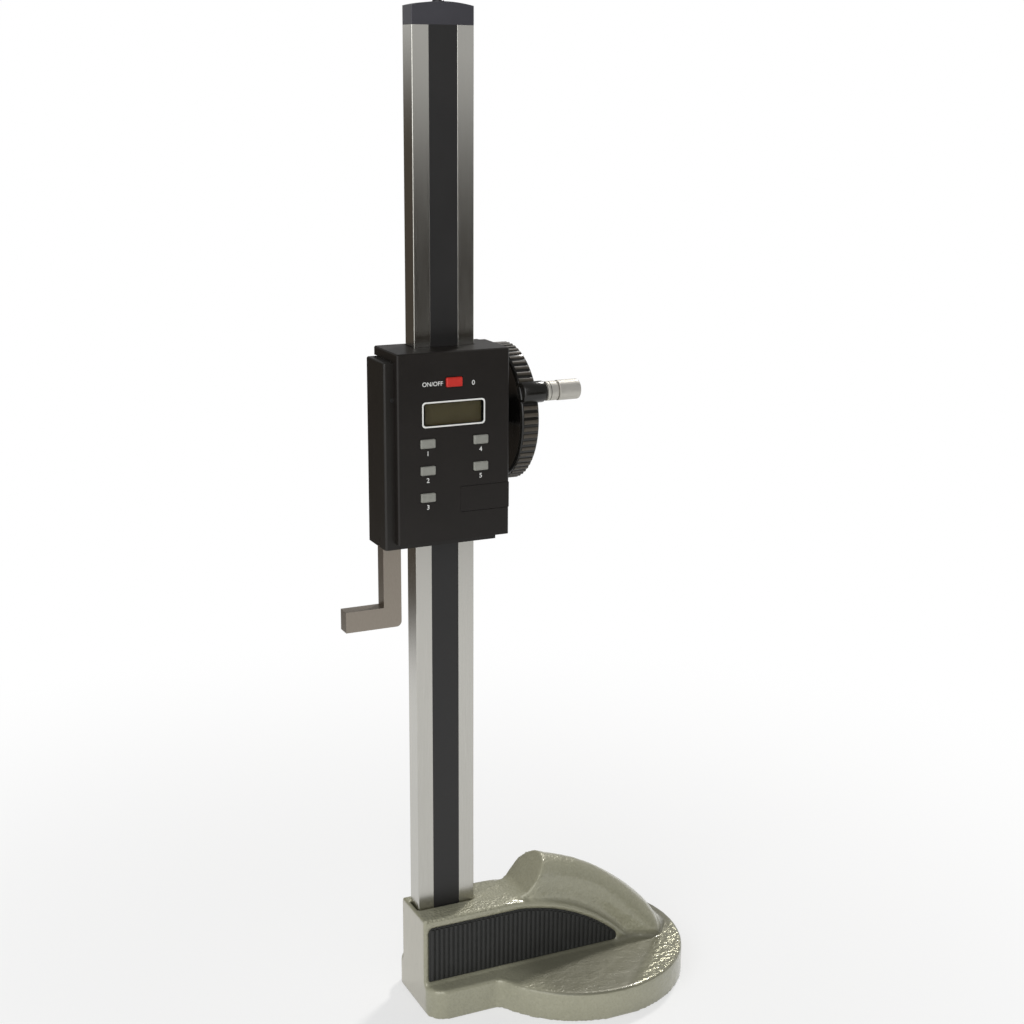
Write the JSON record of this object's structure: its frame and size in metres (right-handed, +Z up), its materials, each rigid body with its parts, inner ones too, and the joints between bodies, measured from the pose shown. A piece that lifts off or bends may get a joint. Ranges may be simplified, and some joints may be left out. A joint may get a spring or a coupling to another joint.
{
  "type": "digital height gauge",
  "caption": "Single-column digital height gauge: a measuring head with display, arm and rack-driven handwheel on a steel beam over a cast base with palm rest.",
  "frame": {"origin": "on the resting plane, under the middle of the beam", "axes": "+X along the base towards its round foot, +Y away from the display side, +Z up the beam"},
  "size_m": [0.1744, 0.112, 0.4676],
  "materials": {
    "cast_base": "grey hammertone lacquer over the casting, ground flat at the front",
    "grip_rubber": "matt ribbed rubber",
    "beam_steel": "satin ground steel",
    "scale_black": "satin black scale strip",
    "rack_steel": "cut steel teeth",
    "screw_steel": "black-oxide screws",
    "cap_black": "moulded black end cap",
    "head_black": "satin black lacquer",
    "case_black": "fine-grained black moulding",
    "arm_steel": "ground and lapped steel",
    "brass": "plain turned brass",
    "board_green": "printed circuit board",
    "lcd_olive": "reflective liquid-crystal panel",
    "window_clear": "clear window",
    "bezel_pale": "pale moulded frame",
    "button_red": "red moulded key",
    "button_grey": "light grey moulded keys",
    "cell_steel": "nickel-plated cell can and contact",
    "wheel_black": "satin black wheel with milled ridges",
    "felt": "dark felt wipers",
    "knob_steel": "turned bright steel"
  },
  "bodies": {
    "stand": {"base_casting": "cast_base", "grip_pad_front": "grip_rubber", "grip_pad_rear": "grip_rubber", "beam": "beam_steel", "scale_strip": "scale_black", "rack": "rack_steel", "beam_bolts": "screw_steel", "beam_cap": "cap_black", "cap_screw": "screw_steel"},
    "head": {"carriage": "head_black", "display_case": "case_black", "gear_cover": "head_black", "gear_cover_screws": "screw_steel", "case_screws": "screw_steel", "measuring_arm": "arm_steel", "arm_screws": "screw_steel", "gib": "brass", "gib_screws": "screw_steel", "reader_board": "board_green", "display_board": "board_green", "board_screws": "screw_steel", "lcd_panel": "lcd_olive", "lcd_bezel": "bezel_pale", "lcd_window": "window_clear", "battery_cell": "cell_steel", "battery_contact": "cell_steel", "shaft_bushes": "brass", "wipers": "felt", "lock_shoe": "brass"},
    "wheel": {"handwheel": "wheel_black", "drive_shaft": "knob_steel", "pinion": "rack_steel", "wheel_screw": "screw_steel", "crank_stud": "knob_steel", "crank_collar": "knob_steel"},
    "sleeve": {"crank_sleeve": "knob_steel"},
    "lock": {"lock_screw": "head_black"},
    "door": {"battery_door": "case_black"},
    "key_power": {"button_power": "button_red"},
    "key_hold": {"button_hold": "button_grey"},
    "key_mode": {"button_mode": "button_grey"},
    "key_units": {"button_units": "button_grey"},
    "key_limits": {"button_limits": "button_grey"},
    "key_preset": {"button_preset": "button_grey"}
  },
  "joints": [
    {"name": "head_slide", "type": "slide", "parent": "stand", "child": "head", "axis": [0, 0, 1], "range_m": [-0.183, 0.136]},
    {"name": "handwheel_spin", "type": "hinge", "parent": "head", "child": "wheel", "pos_m": [0, 0.0113, 0.2856], "axis": [1, 0, 0], "range_deg": [-1500, 1115]},
    {"name": "crank_sleeve_spin", "type": "hinge", "parent": "wheel", "child": "sleeve", "pos_m": [0.0493, -0.01789, 0.29896], "axis": [1, 0, 0], "continuous": true},
    {"name": "lock_turn", "type": "hinge", "parent": "head", "child": "lock", "pos_m": [-0.0095, 0.0113, 0.256], "axis": [0, -1, 0], "range_deg": [-270, 0]},
    {"name": "battery_door_slide", "type": "slide", "parent": "head", "child": "door", "axis": [1, 0, 0], "range_m": [0, 0.02]},
    {"name": "power_press", "type": "slide", "parent": "head", "child": "key_power", "axis": [0, 1, 0], "range_m": [0, 0.0005], "stiffness_N_per_m": 1500},
    {"name": "hold_press", "type": "slide", "parent": "head", "child": "key_hold", "axis": [0, 1, 0], "range_m": [0, 0.0005], "stiffness_N_per_m": 1500},
    {"name": "mode_press", "type": "slide", "parent": "head", "child": "key_mode", "axis": [0, 1, 0], "range_m": [0, 0.0005], "stiffness_N_per_m": 1500},
    {"name": "units_press", "type": "slide", "parent": "head", "child": "key_units", "axis": [0, 1, 0], "range_m": [0, 0.0005], "stiffness_N_per_m": 1500},
    {"name": "limits_press", "type": "slide", "parent": "head", "child": "key_limits", "axis": [0, 1, 0], "range_m": [0, 0.0005], "stiffness_N_per_m": 1500},
    {"name": "preset_press", "type": "slide", "parent": "head", "child": "key_preset", "axis": [0, 1, 0], "range_m": [0, 0.0005], "stiffness_N_per_m": 1500}
  ],
  "couplings": [
    {"joint": "handwheel_spin", "follows": "head_slide", "rad_per_m": 142.86}
  ]
}
